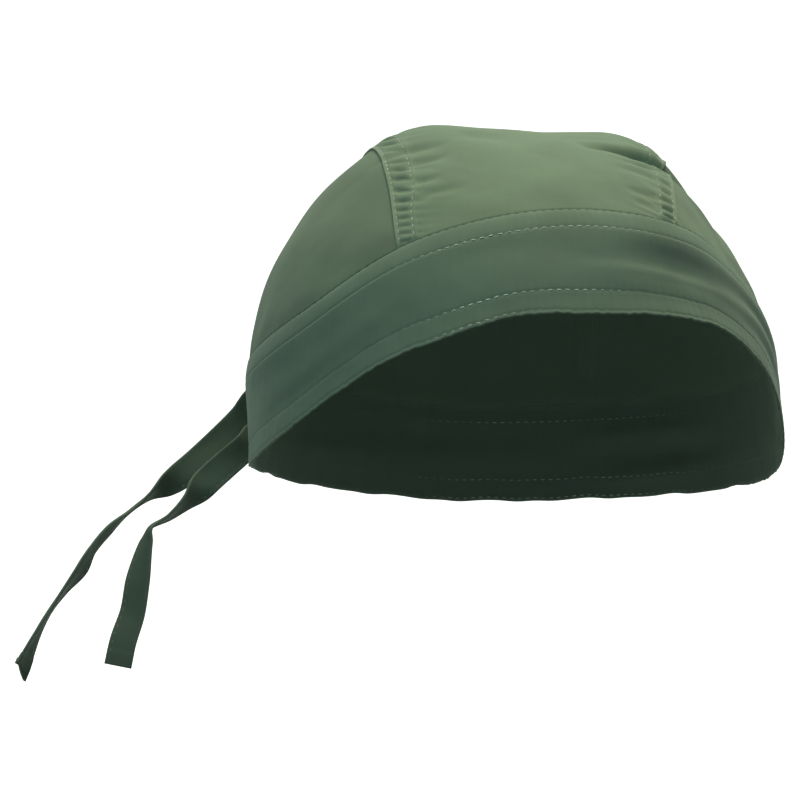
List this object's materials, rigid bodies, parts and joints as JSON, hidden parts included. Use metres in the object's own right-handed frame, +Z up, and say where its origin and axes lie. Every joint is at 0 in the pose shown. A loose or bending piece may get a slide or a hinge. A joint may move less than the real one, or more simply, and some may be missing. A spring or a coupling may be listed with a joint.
{
  "type": "headwrap",
  "caption": "Close-fitting cloth headwrap: a paneled crown sewn to a doubled band that arches over the brow, with narrow free-hanging ties at the back left.",
  "frame": {"origin": "middle of the head opening in plan, level with the lowest edge of the rim at the nape", "axes": "+Z up out of the crown, front of the cap towards -Y, wearer's right towards -X, where the ties hang"},
  "size_m": [0.2492, 0.1881, 0.1769],
  "materials": {
    "crown_cloth": "matt olive-green cotton poplin, plain weave",
    "band_cloth": "matt olive-green cotton poplin, doubled and topstitched",
    "tie_cloth": "matt dark-green cotton, folded and edge-stitched"
  },
  "bodies": {
    "root": {"crown_center_panel": "crown_cloth", "crown_side_panel_left": "crown_cloth", "crown_side_panel_right": "crown_cloth", "head_band": "band_cloth", "tie_far": "tie_cloth", "tie_near": "tie_cloth"}
  },
  "joints": []
}
